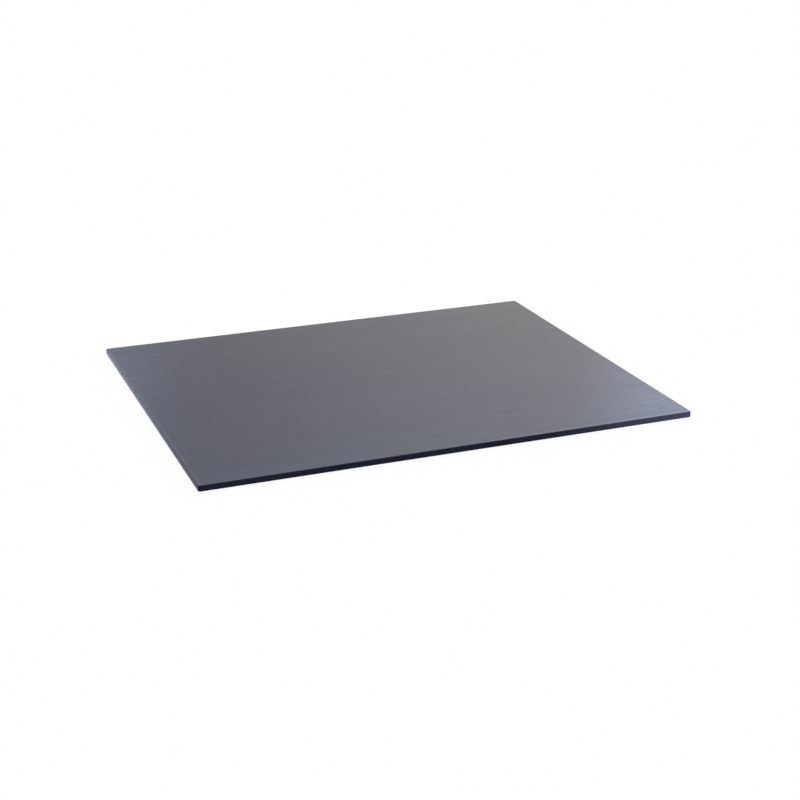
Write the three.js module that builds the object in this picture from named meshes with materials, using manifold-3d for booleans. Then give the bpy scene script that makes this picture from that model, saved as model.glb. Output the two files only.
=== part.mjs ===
// A thin serving board of the half gastronorm size: five black-stained wood plies pressed into one flat
// panel, trimmed square, eased along every edge and lacquered, standing on four moulded rubber feet.
// Millimetres, +Z up. The origin is on the table under the middle of the board. +X runs along the grain of
// the face veneer, and -Y is the long edge that faces the guest.
import * as THREE from "three";
import { mergeVertices } from "three/addons/utils/BufferGeometryUtils.js";
import Module from "manifold-3d";

// Panel
const LENGTH = 325;
const WIDTH = 265;
const CORNER_RADIUS = 1.5; // plan corners
const ARRIS_RADIUS = 0.5; // sanded round along the top and bottom edges

// Lay-up
const FACE_VENEER = 0.6;
const CROSSBAND = 0.85;
const CORE = 0.9;
const BACK_VENEER = 0.6;
const GLUE_LINE = 0.05; // cured glue between plies and in the butt joints of the leaves
const FACE_JOINT = 4.3; // from the centre line back to the joint of the face leaves
const BACK_JOINT = -4.3; // from the centre line forward to the joint of the back leaves

// Feet
const FOOT_DIAMETER = 10; // where the foot is stuck on
const TREAD_DIAMETER = 7; // flat that stands on the table
const FOOT_HEIGHT = 1.2;
const FOOT_INSET = 30; // from each edge of the panel to the middle of the foot
const ADHESIVE_FILM = 0.1;

// Facets
const QUARTER_STEPS = 6; // in each plan corner and each eased edge
const FOOT_SIDE_STEPS = 5;
const FOOT_ROUND_STEPS = 36;

const FACE_FINISH = { color: 0x2c2d34, roughness: 0.38, metalness: 0 };
const EDGE_FINISH = { color: 0x1e1f29, roughness: 0.55, metalness: 0 };
const RUBBER_FINISH = { color: 0x303133, roughness: 0.85, metalness: 0 };

// Plies from the table up; a ply with a joint is laid in two leaves, front and rear
const LAY_UP = [
  { name: "back_leaf", thickness: BACK_VENEER, joint: BACK_JOINT, finish: FACE_FINISH },
  { name: "lower_crossband", thickness: CROSSBAND, finish: EDGE_FINISH },
  { name: "core_ply", thickness: CORE, finish: EDGE_FINISH },
  { name: "upper_crossband", thickness: CROSSBAND, finish: EDGE_FINISH },
  { name: "face_leaf", thickness: FACE_VENEER, joint: FACE_JOINT, finish: FACE_FINISH },
];
const PLY_TOTAL = LAY_UP.reduce((sum, ply) => sum + ply.thickness, 0);
const PANEL_THICKNESS = PLY_TOTAL + (LAY_UP.length - 1) * GLUE_LINE;
const UNDERSIDE = FOOT_HEIGHT + ADHESIVE_FILM;

const wasm = await Module();
wasm.setup();

// A closed three.js geometry as a solid that can be cut
function solidFrom(geometry) {
  geometry.deleteAttribute("normal");
  geometry.deleteAttribute("uv");
  const welded = mergeVertices(geometry);
  return new wasm.Manifold(
    new wasm.Mesh({
      numProp: 3,
      vertProperties: new Float32Array(welded.attributes.position.array),
      triVerts: new Uint32Array(welded.index.array),
    }),
  );
}

// A cut solid as a three.js geometry
function geometryFrom(solid) {
  const { vertProperties, triVerts } = solid.getMesh();
  const geometry = new THREE.BufferGeometry();
  geometry.setAttribute("position", new THREE.BufferAttribute(vertProperties, 3));
  geometry.setIndex(new THREE.BufferAttribute(triVerts, 1));
  geometry.computeVertexNormals();
  return geometry;
}

function piece(name, geometry, finish) {
  const mesh = new THREE.Mesh(geometry, new THREE.MeshStandardMaterial(finish));
  mesh.name = name;
  return mesh;
}

// Plan of the panel: a rectangle with a quarter circle in each corner
function panelPlan() {
  const plan = new THREE.Shape();
  const cornerX = LENGTH / 2 - CORNER_RADIUS;
  const cornerY = WIDTH / 2 - CORNER_RADIUS;
  const quarter = Math.PI / 2;
  plan.absarc(cornerX, cornerY, CORNER_RADIUS, 0, quarter);
  plan.absarc(-cornerX, cornerY, CORNER_RADIUS, quarter, 2 * quarter);
  plan.absarc(-cornerX, -cornerY, CORNER_RADIUS, 2 * quarter, 3 * quarter);
  plan.absarc(cornerX, -cornerY, CORNER_RADIUS, 3 * quarter, 4 * quarter);
  plan.closePath();
  return plan;
}

// The whole pressed panel, with the arris rounded over along its top and bottom edges
function pressedPanel() {
  const arris = Math.min(ARRIS_RADIUS, CORNER_RADIUS, PANEL_THICKNESS / 2);
  const panel = new THREE.ExtrudeGeometry(panelPlan(), {
    depth: PANEL_THICKNESS - 2 * arris,
    bevelThickness: arris,
    bevelSize: arris,
    bevelOffset: -arris,
    bevelSegments: QUARTER_STEPS,
    curveSegments: QUARTER_STEPS,
  });
  panel.translate(0, 0, UNDERSIDE + arris);
  return solidFrom(panel);
}

// The slice of the panel between two heights and two distances from the centre line
function sliceOf(panel, bottom, top, front, rear) {
  const slab = new THREE.BoxGeometry(2 * LENGTH, rear - front, top - bottom);
  slab.translate(0, (front + rear) / 2, (bottom + top) / 2);
  return geometryFrom(panel.intersect(solidFrom(slab)));
}

// A moulded foot: flat tread, side curving out and up to the stuck-on base
function footGeometry() {
  const base = FOOT_DIAMETER / 2;
  const profile = new THREE.Path();
  profile.moveTo(0, 0);
  profile.lineTo(TREAD_DIAMETER / 2, 0);
  profile.quadraticCurveTo(base, 0, base, FOOT_HEIGHT);
  profile.lineTo(0, FOOT_HEIGHT);
  const foot = new THREE.LatheGeometry(profile.getPoints(FOOT_SIDE_STEPS), FOOT_ROUND_STEPS);
  return foot.rotateX(Math.PI / 2);
}

const board = new THREE.Group();

// The plies, cut from the panel along its glue lines so that the eased edge runs through all of them
const panel = pressedPanel();
let bottom = UNDERSIDE;
for (const { name, thickness, joint, finish } of LAY_UP) {
  const top = bottom + thickness;
  if (joint === undefined) {
    board.add(piece(name, sliceOf(panel, bottom, top, -WIDTH, WIDTH), finish));
  } else {
    const frontEnd = joint - GLUE_LINE / 2;
    const rearStart = joint + GLUE_LINE / 2;
    board.add(piece(`${name}_front`, sliceOf(panel, bottom, top, -WIDTH, frontEnd), finish));
    board.add(piece(`${name}_rear`, sliceOf(panel, bottom, top, rearStart, WIDTH), finish));
  }
  bottom = top + GLUE_LINE;
}

// The feet, one under each corner
for (const [row, sideY] of [["front", -1], ["rear", 1]]) {
  for (const [side, sideX] of [["left", -1], ["right", 1]]) {
    const foot = piece(`foot_${row}_${side}`, footGeometry(), RUBBER_FINISH);
    foot.position.set(sideX * (LENGTH / 2 - FOOT_INSET), sideY * (WIDTH / 2 - FOOT_INSET), 0);
    board.add(foot);
  }
}

export default board;
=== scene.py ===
"""A thin black-stained serving board on a white floor, dressed around its packed plies and feet.

Metres, +Z up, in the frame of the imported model: the origin is on the table under the middle of the
board, +X runs along the grain of the face and -Y is the long edge in front.
"""
import math

import bpy
import numpy as np
from mathutils import Matrix, Vector


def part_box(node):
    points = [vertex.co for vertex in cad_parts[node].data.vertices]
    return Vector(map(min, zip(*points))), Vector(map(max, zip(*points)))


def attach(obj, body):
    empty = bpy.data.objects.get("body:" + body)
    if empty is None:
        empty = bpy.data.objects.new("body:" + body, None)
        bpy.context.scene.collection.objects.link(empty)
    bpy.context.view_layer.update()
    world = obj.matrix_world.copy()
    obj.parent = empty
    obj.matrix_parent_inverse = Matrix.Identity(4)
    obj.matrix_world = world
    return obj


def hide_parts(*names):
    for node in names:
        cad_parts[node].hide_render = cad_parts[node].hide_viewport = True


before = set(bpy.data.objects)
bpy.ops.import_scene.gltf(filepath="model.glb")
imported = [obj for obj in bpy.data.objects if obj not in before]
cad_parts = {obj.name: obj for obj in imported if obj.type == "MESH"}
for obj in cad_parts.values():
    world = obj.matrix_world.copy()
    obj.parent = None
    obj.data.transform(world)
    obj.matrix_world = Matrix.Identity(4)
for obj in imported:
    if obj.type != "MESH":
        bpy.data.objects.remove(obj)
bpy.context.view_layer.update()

MM = 0.001

# Sizes of the pressed panel that its boxes don't give
CORNER_RADIUS = 1.5 * MM
ARRIS_RADIUS = 0.5 * MM
GLUE_LINE = 0.05 * MM

# The rim of a sheet: where the arris starts, from the corner's centre out, its length round the
# quarter circle, and the steps of the grid over each part
ARRIS_START = CORNER_RADIUS - ARRIS_RADIUS
ARRIS_LENGTH = ARRIS_RADIUS * np.pi / 2
RIM_STEPS = {"flat": 2, "arris": 6, "wall": 1}

# Cells of the leaves' grid, along the grain and across it
LEAF_GRID = (3.2 * MM, 1.0 * MM)

# Relief of the pressed and lacquered veneer: its depth and its waves, with the shortest and longest
# along the grain and across it
RELIEF_DEPTH = 0.012 * MM
RELIEF_WAVES = 24
RELIEF_SEED = 11
RELIEF_ALONG = (90 * MM, 400 * MM)
RELIEF_ACROSS = (6 * MM, 60 * MM)

# Moulded feet
TREAD_DIAMETER = 7 * MM
FOOT_SIDE_STEPS = 16
FOOT_ROUND_STEPS = 72

# Faces that meet at a larger angle than this are shaded with a sharp edge
SHARP_ANGLE = math.radians(40)

# Stain and lacquer, with a painted highlight among them: colour and roughness of the darkest
# streaks and of what lies over them
FACE_FINISH = {
    "dark": ("#13151c", 0.22),
    "light": ("#282a34", 0.18),
    "pore": ("#0c0d11", 0.30),
    # painted highlight: a lighter colour in place of light
    "painted_highlight": ("#46484f", 0.19),
}
EDGE_FINISH = {
    "dark": ("#1b1d2b", 0.28),
    "light": ("#282a38", 0.22),
    # painted highlight: a lighter colour in place of light
    "painted_highlight": ("#75778d", 0.25),
}
LACQUER_IOR = 1.5

# The thin coat of the edges hardly mirrors, and the fibres that stand up in it give a sheen
EDGE_SPECULAR = 0.012
EDGE_SHEEN = 0.48
EDGE_SHEEN_ROUGHNESS = 0.3
EDGE_SHEEN_TINT = "#c8daff"

# Painted highlights, where the colour is painted lighter in place of light: ends of the fades along
# the board and across it, and the share of the lighter colour. On the face that is the front edge
# towards the right and the whole left edge, and on the edges the front right corner and the left edge
# towards the rear.
FACE_PAINTED_HIGHLIGHT = [
    ((-30 * MM, 130 * MM), (-129 * MM, -131 * MM), 1.0),
    ((-159 * MM, -162.4 * MM), (-140 * MM, -130 * MM), 0.75),
]
EDGE_PAINTED_HIGHLIGHT = [
    ((45 * MM, 175 * MM), (-80 * MM, -125 * MM), 0.38),
    ((-160.5 * MM, -162 * MM), (-110 * MM, 120 * MM), 1.0),
]

# Fields of the grain: length along it, width across it, and octaves. The pores of the real veneer
# are about 0.2 mm wide, and are drawn at three times that so that they show.
FACE_GRAIN = {
    "growth": (320 * MM, 9 * MM, 3.0),
    "figure": (110 * MM, 3 * MM, 2.0),
    "fibre": (30 * MM, 0.7 * MM, 2.0),
    "pores": (11 * MM, 0.6 * MM, 0.0),
}
EDGE_GRAIN = {
    "growth": (60 * MM, 1.4 * MM, 2.0),
    "fibre": (9 * MM, 0.3 * MM, 2.0),
}
OCTAVE_ROUGHNESS = 0.55

# Bends of the grain: their length, how far they go aside, and octaves
WANDER_LENGTH = 150 * MM
WANDER_REACH = 1.5 * MM
WANDER_OCTAVES = 1.0

# Where in the fields the edges lie, and the step from each leaf to the next
EDGE_SHIFT = 3.7
LEAF_SHIFT = 17.3

# Lighter stain: weights of the fields, and the levels of their sum at which it starts and is full
FACE_TONE = {"growth": 1.5, "figure": 0.9, "fibre": 0.7}
FACE_TONE_ENDS = (1.22, 1.88)
EDGE_TONE = {"growth": 1.0, "fibre": 1.0}
EDGE_TONE_ENDS = (0.75, 1.25)

# Painted highlight and painted shade next to the joint of two leaves: the change of that sum, lighter
# on the rear side and darker on the front, and the distance over which it fades out
JOINT_PAINTED_LIGHT_AND_SHADE = 0.42
JOINT_REACH = 5 * MM

# Pores: the levels of their field at which they start and are open, and how much the field is raised
# in the growth bands, from the first of two levels of growth to the second
PORE_ENDS = (0.69, 0.81)
PORE_RAISE = 0.06
PORE_BANDS = (0.42, 0.62)

# Depth of the pores and height of the grain in the lacquer
PORE_DEPTH = 0.0025 * MM
FACE_RISE = {"figure": 0.004 * MM, "fibre": 0.0006 * MM}
EDGE_RISE = 0.004 * MM

# Rubber of the feet: its two tones, and the size, height and strength of the mould's grain
RUBBER_TONES = ("#26272a", "#3a3b3e")
RUBBER_ROUGHNESS = 0.75
RUBBER_IOR = 1.5
RUBBER_GRAIN = 0.25 * MM
RUBBER_OCTAVES = 2.0
RUBBER_RISE = 0.02 * MM
RUBBER_BUMP = 0.6

# Studio: colour and level of the room and of the white sweep round it, which fades out between two
# heights, and soft lights with their bearing from the rear towards the right, their height, the angle
# from their middle at which they fade out, their colour and their strength. They are full up to a
# share of that angle. Angles are in degrees.
ROOM = ("#faf7ff", 0.616)
SWEEP = ("#fbfff3", 0.412)
SWEEP_HEIGHTS = (5.0, 8.0)
SOFT_LIGHTS = {
    "skylight": (34.9, 20.4, 6.2, "#b4c6ff", 1.9),
    "window": (7.0, 19.6, 5.7, "#a3c4ff", 1.0),
    "softbox": (27.9, 41.4, 24.2, "#bacfff", 1.3),
    "wall": (48.3, -2.2, 42.3, "#fff6cd", 0.5),
    "ceiling": (0.0, 90.0, 51.9, "#fafdff", 0.713),
}
FULL_SHARE = 0.5

# Floor: half its side in metres, its paper, and the colour and share of its glow
FLOOR_HALF = 50.0
FLOOR_PAPER = "#f8f8f8"
FLOOR_GLOW = ("#ffffff", 0.95)

# Camera: lens and sensor in millimetres, and where it stands
LENS = 70
SENSOR = 36
CAMERA_AZIMUTH = math.radians(-21.305)
CAMERA_ELEVATION = math.radians(20.443)
CAMERA_ROLL = math.radians(-0.105)
CAMERA_AIM = Vector((1.1, -30.8, 0.0)) * MM
CAMERA_DISTANCE = 1035.1 * MM


def linear(hex_colour):
    """A colour written as sRGB hex, as linear red, green, blue and alpha."""
    parts = [int(hex_colour[i:i + 2], 16) / 255 for i in (1, 3, 5)]
    curve = [p / 12.92 if p <= 0.04045 else ((p + 0.055) / 1.055) ** 2.4 for p in parts]
    return (*curve, 1.0)


def add(tree, kind, sockets=(), **settings):
    """Adds a node with its settings, and sets its inputs or links them to a socket or a node."""
    made = tree.nodes.new(kind)
    for name, value in settings.items():
        setattr(made, name, value)
    for key, value in dict(sockets).items():
        named = [socket for socket in made.inputs if socket.enabled and socket.name == key]
        taken = named[0] if named else made.inputs[key]
        if isinstance(value, bpy.types.Node):
            value = next(socket for socket in value.outputs if socket.enabled)
        if isinstance(value, bpy.types.NodeSocket):
            tree.links.new(value, taken)
        else:
            taken.default_value = value
    return made


def empty_material(name):
    """A material with no nodes, and its tree."""
    material = bpy.data.materials.new(name)
    material.use_nodes = True
    material.node_tree.nodes.clear()
    return material, material.node_tree


def grain_fields(tree, place, along, sizes, shift):
    """Noise fields drawn out along the grain, which wanders a little aside over a hand's width."""
    drift = add(
        tree,
        "ShaderNodeTexNoise",
        {"Vector": place, "Scale": 1 / WANDER_LENGTH, "Detail": WANDER_OCTAVES},
    )
    reach = [0 if axis == along else WANDER_REACH for axis in "XYZ"]
    aside = add(
        tree,
        "ShaderNodeVectorMath",
        {0: drift.outputs["Color"], 1: reach, 2: place},
        operation="MULTIPLY_ADD",
    )
    fields = {}
    for field, (length, width, octaves) in sizes.items():
        squeeze = [1 / length if axis == along else 1 / width for axis in "XYZ"]
        laid = add(
            tree,
            "ShaderNodeMapping",
            {"Vector": aside, "Location": (shift, shift, shift), "Scale": squeeze},
        )
        fields[field] = add(
            tree,
            "ShaderNodeTexNoise",
            {"Vector": laid, "Scale": 1.0, "Detail": octaves, "Roughness": OCTAVE_ROUGHNESS},
        )
    return fields


def grain_tone(tree, fields, weights, ends, total=0.0):
    """Share of the lighter stain: a weighted sum of the fields, stretched between two levels of it."""
    for field, weight in weights.items():
        total = add(
            tree,
            "ShaderNodeMath",
            {0: fields[field], 1: weight, 2: total},
            operation="MULTIPLY_ADD",
        )
    start, full = ends
    return add(
        tree,
        "ShaderNodeMapRange",
        {"Value": total, "From Min": start, "From Max": full},
        interpolation_type="SMOOTHSTEP",
    )


def layered_finish(tree, finish, shares):
    """Colour and roughness of a finish whose parts lie over its darkest streaks, each by its share."""
    colour, rough = finish["dark"]
    colour = linear(colour)
    for part, share in shares.items():
        tint, gloss = finish[part]
        colour = add(
            tree,
            "ShaderNodeMix",
            {"Factor": share, "A": colour, "B": linear(tint)},
            data_type="RGBA",
        )
        rough = add(tree, "ShaderNodeMix", {"Factor": share, "A": rough, "B": gloss})
    return colour, rough


def painted_highlight_share(tree, place, spots):
    """Share of the painted highlight: in each spot a fade along the board times one across it."""
    spread = add(tree, "ShaderNodeSeparateXYZ", {"Vector": place})
    share = 0.0
    for *ends, most in spots:
        along, across = (
            add(
                tree,
                "ShaderNodeMapRange",
                {"Value": spread.outputs[axis], "From Min": start, "From Max": end, "To Max": full},
                interpolation_type="SMOOTHSTEP",
            )
            for axis, (start, end), full in zip("XY", ends, (most, 1.0))
        )
        share = add(tree, "ShaderNodeMath", {0: along, 1: across, 2: share}, operation="MULTIPLY_ADD")
    return share


def stained_veneer(name, shift, joint, side):
    """Black-stained ash veneer with open pores under satin lacquer.

    Straight growth bands and fine streaks run along the length. The lacquer follows them and sinks
    into the pores, so that at a low angle the grain shows as a change of gloss. Next to the joint the
    rear leaf is painted a little lighter and the front one a little darker, a painted highlight and a
    painted shade. Along the front edge towards its right end, and along the left edge, the colour is
    painted lighter as a painted highlight.
    """
    material, tree = empty_material(name)
    place = add(tree, "ShaderNodeTexCoord").outputs["Object"]
    fields = grain_fields(tree, place, "X", FACE_GRAIN, shift)
    spread = add(tree, "ShaderNodeSeparateXYZ", {"Vector": place})
    # painted highlight on the rear side of the joint and painted shade on its front side
    painted_joint_shading = add(
        tree,
        "ShaderNodeMapRange",
        {
            "Value": spread.outputs["Y"],
            "From Min": joint + side * JOINT_REACH,
            "From Max": joint,
            "To Max": side * JOINT_PAINTED_LIGHT_AND_SHADE,
        },
        interpolation_type="SMOOTHSTEP",
    )
    tone = grain_tone(tree, fields, FACE_TONE, FACE_TONE_ENDS, painted_joint_shading)
    start, full = PORE_BANDS
    gathered = add(
        tree,
        "ShaderNodeMapRange",
        {"Value": fields["growth"], "From Min": start, "From Max": full, "To Max": PORE_RAISE},
        interpolation_type="SMOOTHSTEP",
    )
    raised = add(tree, "ShaderNodeMath", {0: fields["pores"], 1: gathered}, operation="ADD")
    start, full = PORE_ENDS
    pores = add(
        tree,
        "ShaderNodeMapRange",
        {"Value": raised, "From Min": start, "From Max": full},
        interpolation_type="SMOOTHSTEP",
    )
    # painted highlight along the front edge towards the right and along the left edge
    painted_highlight = painted_highlight_share(tree, place, FACE_PAINTED_HIGHLIGHT)
    shares = {"light": tone, "pore": pores, "painted_highlight": painted_highlight}
    colour, rough = layered_finish(tree, FACE_FINISH, shares)
    normal = add(
        tree,
        "ShaderNodeBump",
        {"Strength": 1.0, "Distance": PORE_DEPTH, "Height": pores},
        invert=True,
    )
    for field, rise in FACE_RISE.items():
        normal = add(
            tree,
            "ShaderNodeBump",
            {"Strength": 1.0, "Distance": rise, "Height": fields[field], "Normal": normal},
        )
    shader = add(
        tree,
        "ShaderNodeBsdfPrincipled",
        {"Base Color": colour, "Roughness": rough, "IOR": LACQUER_IOR, "Normal": normal},
    )
    add(tree, "ShaderNodeOutputMaterial", {"Surface": shader})
    return material


def stained_edge(name, along, shift):
    """Sanded ply edge under black stain and one thin coat.

    It is deep blue-black from the front and paler at a slant, because the sanded fibres that stand up in
    the coat scatter a cool sheen. Fine fibre lines run along the grain of its ply. The colour is painted
    lighter at the front right corner and along the left edge towards the rear, as a painted highlight.
    """
    material, tree = empty_material(name)
    place = add(tree, "ShaderNodeTexCoord").outputs["Object"]
    fields = grain_fields(tree, place, along, EDGE_GRAIN, shift)
    tone = grain_tone(tree, fields, EDGE_TONE, EDGE_TONE_ENDS)
    # painted highlight at the front right corner and along the left edge towards the rear
    painted_highlight = painted_highlight_share(tree, place, EDGE_PAINTED_HIGHLIGHT)
    colour, rough = layered_finish(tree, EDGE_FINISH, {"light": tone, "painted_highlight": painted_highlight})
    bump = add(
        tree,
        "ShaderNodeBump",
        {"Strength": 1.0, "Distance": EDGE_RISE, "Height": fields["fibre"]},
    )
    shader = add(
        tree,
        "ShaderNodeBsdfPrincipled",
        {
            "Base Color": colour,
            "Roughness": rough,
            "IOR": LACQUER_IOR,
            "Specular IOR Level": EDGE_SPECULAR,
            "Sheen Weight": EDGE_SHEEN,
            "Sheen Roughness": EDGE_SHEEN_ROUGHNESS,
            "Sheen Tint": linear(EDGE_SHEEN_TINT),
            "Normal": bump,
        },
    )
    add(tree, "ShaderNodeOutputMaterial", {"Surface": shader})
    return material


def moulded_rubber(name):
    """Black thermoplastic rubber from an eroded mould: dull, with a fine even grain."""
    material, tree = empty_material(name)
    place = add(tree, "ShaderNodeTexCoord").outputs["Object"]
    grain = add(
        tree,
        "ShaderNodeTexNoise",
        {"Vector": place, "Scale": 1 / RUBBER_GRAIN, "Detail": RUBBER_OCTAVES},
    )
    dark, light = (linear(tone) for tone in RUBBER_TONES)
    colour = add(tree, "ShaderNodeMix", {"Factor": grain, "A": dark, "B": light}, data_type="RGBA")
    bump = add(
        tree,
        "ShaderNodeBump",
        {"Strength": RUBBER_BUMP, "Distance": RUBBER_RISE, "Height": grain},
    )
    shader = add(
        tree,
        "ShaderNodeBsdfPrincipled",
        {"Base Color": colour, "Roughness": RUBBER_ROUGHNESS, "IOR": RUBBER_IOR, "Normal": bump},
    )
    add(tree, "ShaderNodeOutputMaterial", {"Surface": shader})
    return material


def piece(name, vertices, faces, materials, node):
    """A smooth mesh object with sharp edges kept, riding on the board in place of its CAD node."""
    mesh = bpy.data.meshes.new(name)
    mesh.from_pydata(vertices.tolist(), [], faces)
    mesh.polygons.foreach_set("use_smooth", np.ones(len(mesh.polygons), bool))
    mesh.set_sharp_from_angle(angle=SHARP_ANGLE)
    for material in materials:
        mesh.materials.append(material)
    made = bpy.data.objects.new(name, mesh)
    bpy.context.scene.collection.objects.link(made)
    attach(made, "root")
    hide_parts(node)
    return made


def grid_quads(rows, columns, flip):
    """The four corners of every cell of a grid whose vertices are numbered row by row."""
    first = np.arange((rows - 1) * columns).reshape(rows - 1, columns)[:, :-1].ravel()
    quads = np.stack([first, first + 1, first + columns + 1, first + columns], 1)
    return quads[:, ::-1] if flip else quads


def relief(x, y):
    """Depth of the faint waves that the pressed plies leave in the lacquered face.

    A sum of plane waves of random phase, long along the grain and short across it, scaled to lie from
    0 to 1 times the relief depth under the face.
    """
    draw = np.random.default_rng(RELIEF_SEED)
    along = 2 * np.pi / draw.uniform(*RELIEF_ALONG, RELIEF_WAVES)
    across = 2 * np.pi / draw.uniform(*RELIEF_ACROSS, RELIEF_WAVES)
    phase = draw.uniform(0, 2 * np.pi, RELIEF_WAVES)
    wave = np.zeros_like(x)
    for kx, ky, start in zip(along, across, phase):
        wave += np.sin(kx * x + ky * y + start)
    return RELIEF_DEPTH * (0.5 + 0.5 * np.clip(wave / np.sqrt(2 * RELIEF_WAVES), -1, 1))


def rim_lines(thickness):
    """Distances of the grid lines over the rim, from the corner's centre out and down the wall."""
    end = ARRIS_START + ARRIS_LENGTH
    foot = end + thickness - ARRIS_RADIUS
    flat = np.linspace(0, ARRIS_START, RIM_STEPS["flat"] + 1)[1:]
    arris = np.linspace(ARRIS_START, end, RIM_STEPS["arris"] + 1)[1:]
    wall = np.linspace(end, foot, RIM_STEPS["wall"] + 1)[1:]
    return np.concatenate([flat, arris, wall])


def folded_rim(out):
    """Distance out and drop of a sheet that is folded over the arris and down the wall.

    A point of the flat sheet keeps its distance up to where the arris starts, goes round the quarter
    circle by arc length, and moves straight down from there.
    """
    turn = np.clip((out - ARRIS_START) / ARRIS_RADIUS, 0, np.pi / 2)
    reach = np.minimum(out, ARRIS_START) + ARRIS_RADIUS * np.sin(turn)
    down = np.maximum(out - ARRIS_START - ARRIS_LENGTH, 0)
    return reach, ARRIS_RADIUS * (1 - np.cos(turn)) + down


def folded_sheet(along, across, half, straight):
    """A flat grid folded over the rim: place along the board and from the joint, drop, and overhang.

    A point past the straight part is moved by the map of a square onto a quarter disc: the larger of
    its two overhangs is its distance from the corner's centre, and their ratio its angle.
    """
    flat_y, flat_x = np.meshgrid(across, along, indexing="ij")
    over_x = np.maximum(np.abs(flat_x) - half, 0)
    over_y = np.maximum(flat_y - straight, 0)
    over = np.maximum(over_x, over_y)
    ratio = np.minimum(over_x, over_y) / np.where(over > 0, over, 1)
    angle = np.where(over_x >= over_y, ratio, 2 - ratio) * np.pi / 4
    distance, drop = folded_rim(over)
    x = np.clip(flat_x, -half, half) + np.sign(flat_x) * distance * np.cos(angle)
    from_joint = np.minimum(flat_y, straight) + distance * np.sin(angle) * (over_y > 0)
    return x, from_joint, drop, over


def veneer_leaf(name, node, shift, edge):
    """One leaf of veneer: a sheet folded over the rim on three sides and cut square at the joint.

    The sheet is a grid of points along the board and from the joint out, sunk by the relief where it is
    flat. One face closes its end at the joint and one its underside. The lacquer closes the joint, so
    the sheet reaches the middle of the glue line. Its wall has the finish of the edge.
    """
    low, high = (np.array(corner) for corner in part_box(node))
    faces_up = node.startswith("face")
    at_front = node.endswith("front")
    side = -1 if at_front else 1
    joint = high[1] + GLUE_LINE / 2 if at_front else low[1] - GLUE_LINE / 2
    thickness = high[2] - low[2]
    half = (high[0] - low[0]) / 2 - CORNER_RADIUS
    straight = high[1] - low[1] + GLUE_LINE / 2 - CORNER_RADIUS

    rim = rim_lines(thickness)
    lines_along = np.linspace(-half, half, round(2 * half / LEAF_GRID[0]) + 1)
    lines_across = np.linspace(0, straight, round(straight / LEAF_GRID[1]) + 1)
    along = np.concatenate([-half - rim[::-1], lines_along, half + rim])
    across = np.concatenate([lines_across, straight + rim])
    x, from_joint, drop, over = folded_sheet(along, across, half, straight)
    y = joint + side * from_joint
    on_face = np.clip(1 - over / ARRIS_START, 0, 1)
    sunk = np.minimum(drop + on_face * relief(x, y), thickness)
    z = high[2] - sunk if faces_up else low[2] + sunk
    vertices = np.stack([x, y, z], -1).reshape(-1, 3)

    flip = at_front == faces_up
    quads = grid_quads(len(across), len(along), flip)
    numbers = np.arange(x.size).reshape(x.shape)
    joint_end = numbers[0] if flip else numbers[0][::-1]
    under = np.concatenate([numbers[:, 0], numbers[-1, 1:], numbers[-2::-1, -1]])
    faces = [*quads.tolist(), joint_end.tolist(), (under[::-1] if flip else under).tolist()]
    finishes = [stained_veneer(f"black_stained_ash_{node}", shift, joint, side), edge]
    made = piece(name, vertices, faces, finishes, node)
    past_arris_middle = over.ravel()[quads].mean(1) > ARRIS_START + ARRIS_LENGTH / 2
    on_wall = np.append(past_arris_middle, [True, True])
    made.data.polygons.foreach_set("material_index", on_wall.astype(np.int32))


def moulded_foot(name, node, material):
    """A foot turned from its profile: flat tread, then a curve out and up to the base.

    The curve is of the second order. Its control point is the corner under the base's edge, so it leaves
    the tread level and reaches the base upright. Rings of points go round it, and each end is closed by
    one flat face.
    """
    low, high = (np.array(corner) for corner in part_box(node))
    centre = (low + high) / 2
    base = (high[0] - low[0]) / 2
    tread = TREAD_DIAMETER / 2
    t = np.linspace(0, 1, FOOT_SIDE_STEPS + 1)
    radius = (1 - t) ** 2 * tread + (1 - (1 - t) ** 2) * base
    height = low[2] + t ** 2 * (high[2] - low[2])
    turn = np.linspace(0, 2 * np.pi, FOOT_ROUND_STEPS, endpoint=False)
    x = centre[0] + radius[:, None] * np.cos(turn)
    y = centre[1] + radius[:, None] * np.sin(turn)
    z = np.repeat(height[:, None], FOOT_ROUND_STEPS, 1)
    vertices = np.stack([x, y, z], -1).reshape(-1, 3)

    ring = np.arange(FOOT_ROUND_STEPS)
    after = np.roll(ring, -1)
    below = FOOT_ROUND_STEPS * np.arange(FOOT_SIDE_STEPS)[:, None]
    above = below + FOOT_ROUND_STEPS
    quads = np.stack([below + ring, below + after, above + after, above + ring], -1)
    faces = quads.reshape(-1, 4).tolist()
    faces.append(ring[::-1].tolist())
    faces.append((ring + FOOT_ROUND_STEPS * FOOT_SIDE_STEPS).tolist())
    piece(name, vertices, faces, [material], node)


def white_floor():
    """A large sheet of white paper, which glows so that the board's shadow on it stays faint."""
    corners = FLOOR_HALF * np.array([(-1, -1, 0), (1, -1, 0), (1, 1, 0), (-1, 1, 0)], float)
    mesh = bpy.data.meshes.new("white_floor")
    mesh.from_pydata(corners.tolist(), [], [(0, 1, 2, 3)])
    material, tree = empty_material("white_paper")
    colour, share = FLOOR_GLOW
    paper = add(tree, "ShaderNodeBsdfDiffuse", {"Color": linear(FLOOR_PAPER)})
    glow = add(tree, "ShaderNodeEmission", {"Color": linear(colour), "Strength": 1.0})
    path = add(tree, "ShaderNodeLightPath")
    seen = 0.0
    for ray in ("Is Camera Ray", "Is Glossy Ray", "Is Transmission Ray"):
        seen = add(
            tree,
            "ShaderNodeMath",
            {0: path.outputs[ray], 1: share, 2: seen},
            operation="MULTIPLY_ADD",
        )
    sheet = add(tree, "ShaderNodeMixShader", {0: seen, 1: paper, 2: glow})
    add(tree, "ShaderNodeOutputMaterial", {"Surface": sheet})
    mesh.materials.append(material)
    floor = bpy.data.objects.new("white_floor", mesh)
    bpy.context.scene.collection.objects.link(floor)


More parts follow.
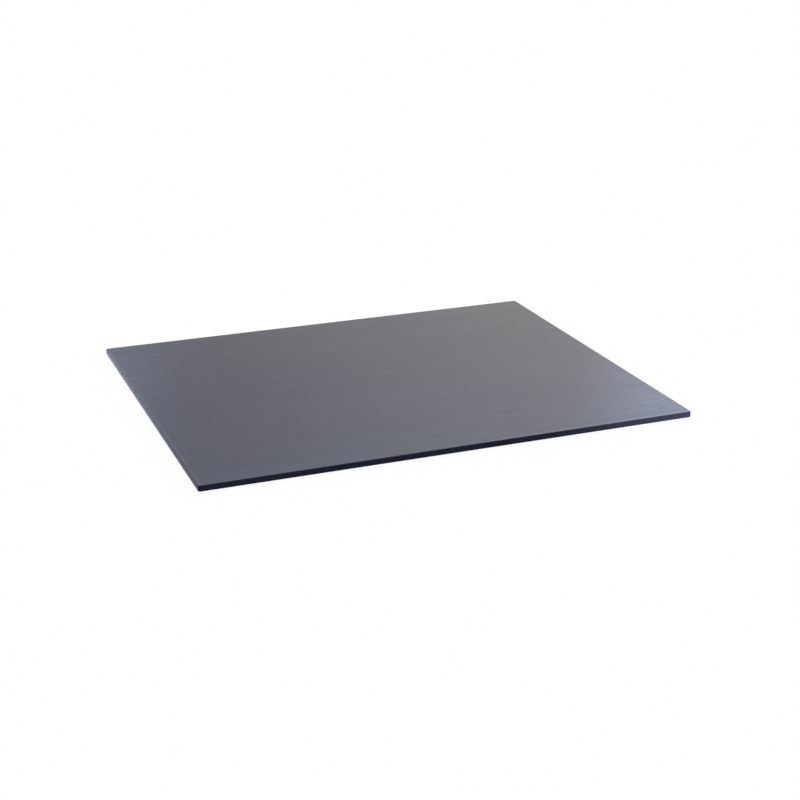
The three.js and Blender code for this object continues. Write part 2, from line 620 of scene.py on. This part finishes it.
def studio_light():
    """A pale room with a white sweep, cool lights behind the board, a warm wall and a ceiling.

    The sweep fades out by the height of a direction, and a soft light by the angle from its middle.
    """
    world = bpy.data.worlds.new("pale_room")
    world.use_nodes = True
    tree = world.node_tree
    tree.nodes.clear()
    direction = add(tree, "ShaderNodeTexCoord").outputs["Generated"]
    upward = add(tree, "ShaderNodeSeparateXYZ", {"Vector": direction}).outputs["Z"]
    full, out = (math.sin(math.radians(angle)) for angle in SWEEP_HEIGHTS)
    lights = [(upward, out, full, *SWEEP)]
    for *angles, colour, strength in SOFT_LIGHTS.values():
        bearing, height, spread = (math.radians(angle) for angle in angles)
        middle = (
            math.sin(bearing) * math.cos(height),
            math.cos(bearing) * math.cos(height),
            math.sin(height),
        )
        near = add(tree, "ShaderNodeVectorMath", {0: direction, 1: middle}, operation="DOT_PRODUCT")
        out, full = math.cos(spread), math.cos(FULL_SHARE * spread)
        lights.append((near.outputs["Value"], out, full, colour, strength))
    colour, strength = ROOM
    light = add(tree, "ShaderNodeBackground", {"Color": linear(colour), "Strength": strength})
    for value, out, full, colour, strength in lights:
        level = add(
            tree,
            "ShaderNodeMapRange",
            {"Value": value, "From Min": out, "From Max": full, "To Max": strength},
            interpolation_type="SMOOTHSTEP",
        )
        soft = add(tree, "ShaderNodeBackground", {"Color": linear(colour), "Strength": level})
        light = add(tree, "ShaderNodeAddShader", {0: light, 1: soft})
    add(tree, "ShaderNodeOutputWorld", {"Surface": light})
    bpy.context.scene.world = world


def photograph_camera():
    """The camera of the photograph: a long lens that looks down at the board from the front left."""
    back = Vector((
        math.sin(CAMERA_AZIMUTH) * math.cos(CAMERA_ELEVATION),
        -math.cos(CAMERA_AZIMUTH) * math.cos(CAMERA_ELEVATION),
        math.sin(CAMERA_ELEVATION),
    ))
    level = Vector((math.cos(CAMERA_AZIMUTH), math.sin(CAMERA_AZIMUTH), 0))
    upright = back.cross(level)
    right = math.cos(CAMERA_ROLL) * level + math.sin(CAMERA_ROLL) * upright
    turned = Matrix((right, back.cross(right), back)).transposed()
    lens = bpy.data.cameras.new("camera")
    lens.lens = LENS
    lens.sensor_width = SENSOR
    camera = bpy.data.objects.new("camera", lens)
    camera.matrix_world = Matrix.Translation(CAMERA_AIM + CAMERA_DISTANCE * back) @ turned.to_4x4()
    bpy.context.scene.collection.objects.link(camera)
    bpy.context.scene.camera = camera


# Plies: the crossbands lie across the board, the core and the leaves along it
ply_edges = {
    along: stained_edge(f"black_stained_ply_edge_{along.lower()}", along, EDGE_SHIFT) for along in "XY"
}
for node, along in {"upper_crossband": "Y", "core_ply": "X", "lower_crossband": "Y"}.items():
    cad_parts[node].material_slots[0].material = ply_edges[along]

# Leaves of the face and of the back, each from another part of the flitch
leaves = {
    "face_veneer_front": ("face_leaf_front", "face_veneer"),
    "face_veneer_rear": ("face_leaf_rear", "face_veneer"),
    "back_veneer_front": ("back_leaf_front", "back_veneer"),
    "back_veneer_rear": ("back_leaf_rear", "back_veneer"),
}
for index, (name, (node, slot)) in enumerate(leaves.items()):
    veneer_leaf(name, node, LEAF_SHIFT * index, ply_edges["X"])

# Feet
rubber = moulded_rubber("moulded_black_rubber")
for row in ("front", "rear"):
    for side in ("left", "right"):
        moulded_foot(f"rubber_foot_{row}_{side}", f"foot_{row}_{side}", rubber)

white_floor()
studio_light()
photograph_camera()
bpy.context.scene.view_settings.view_transform = "Standard"
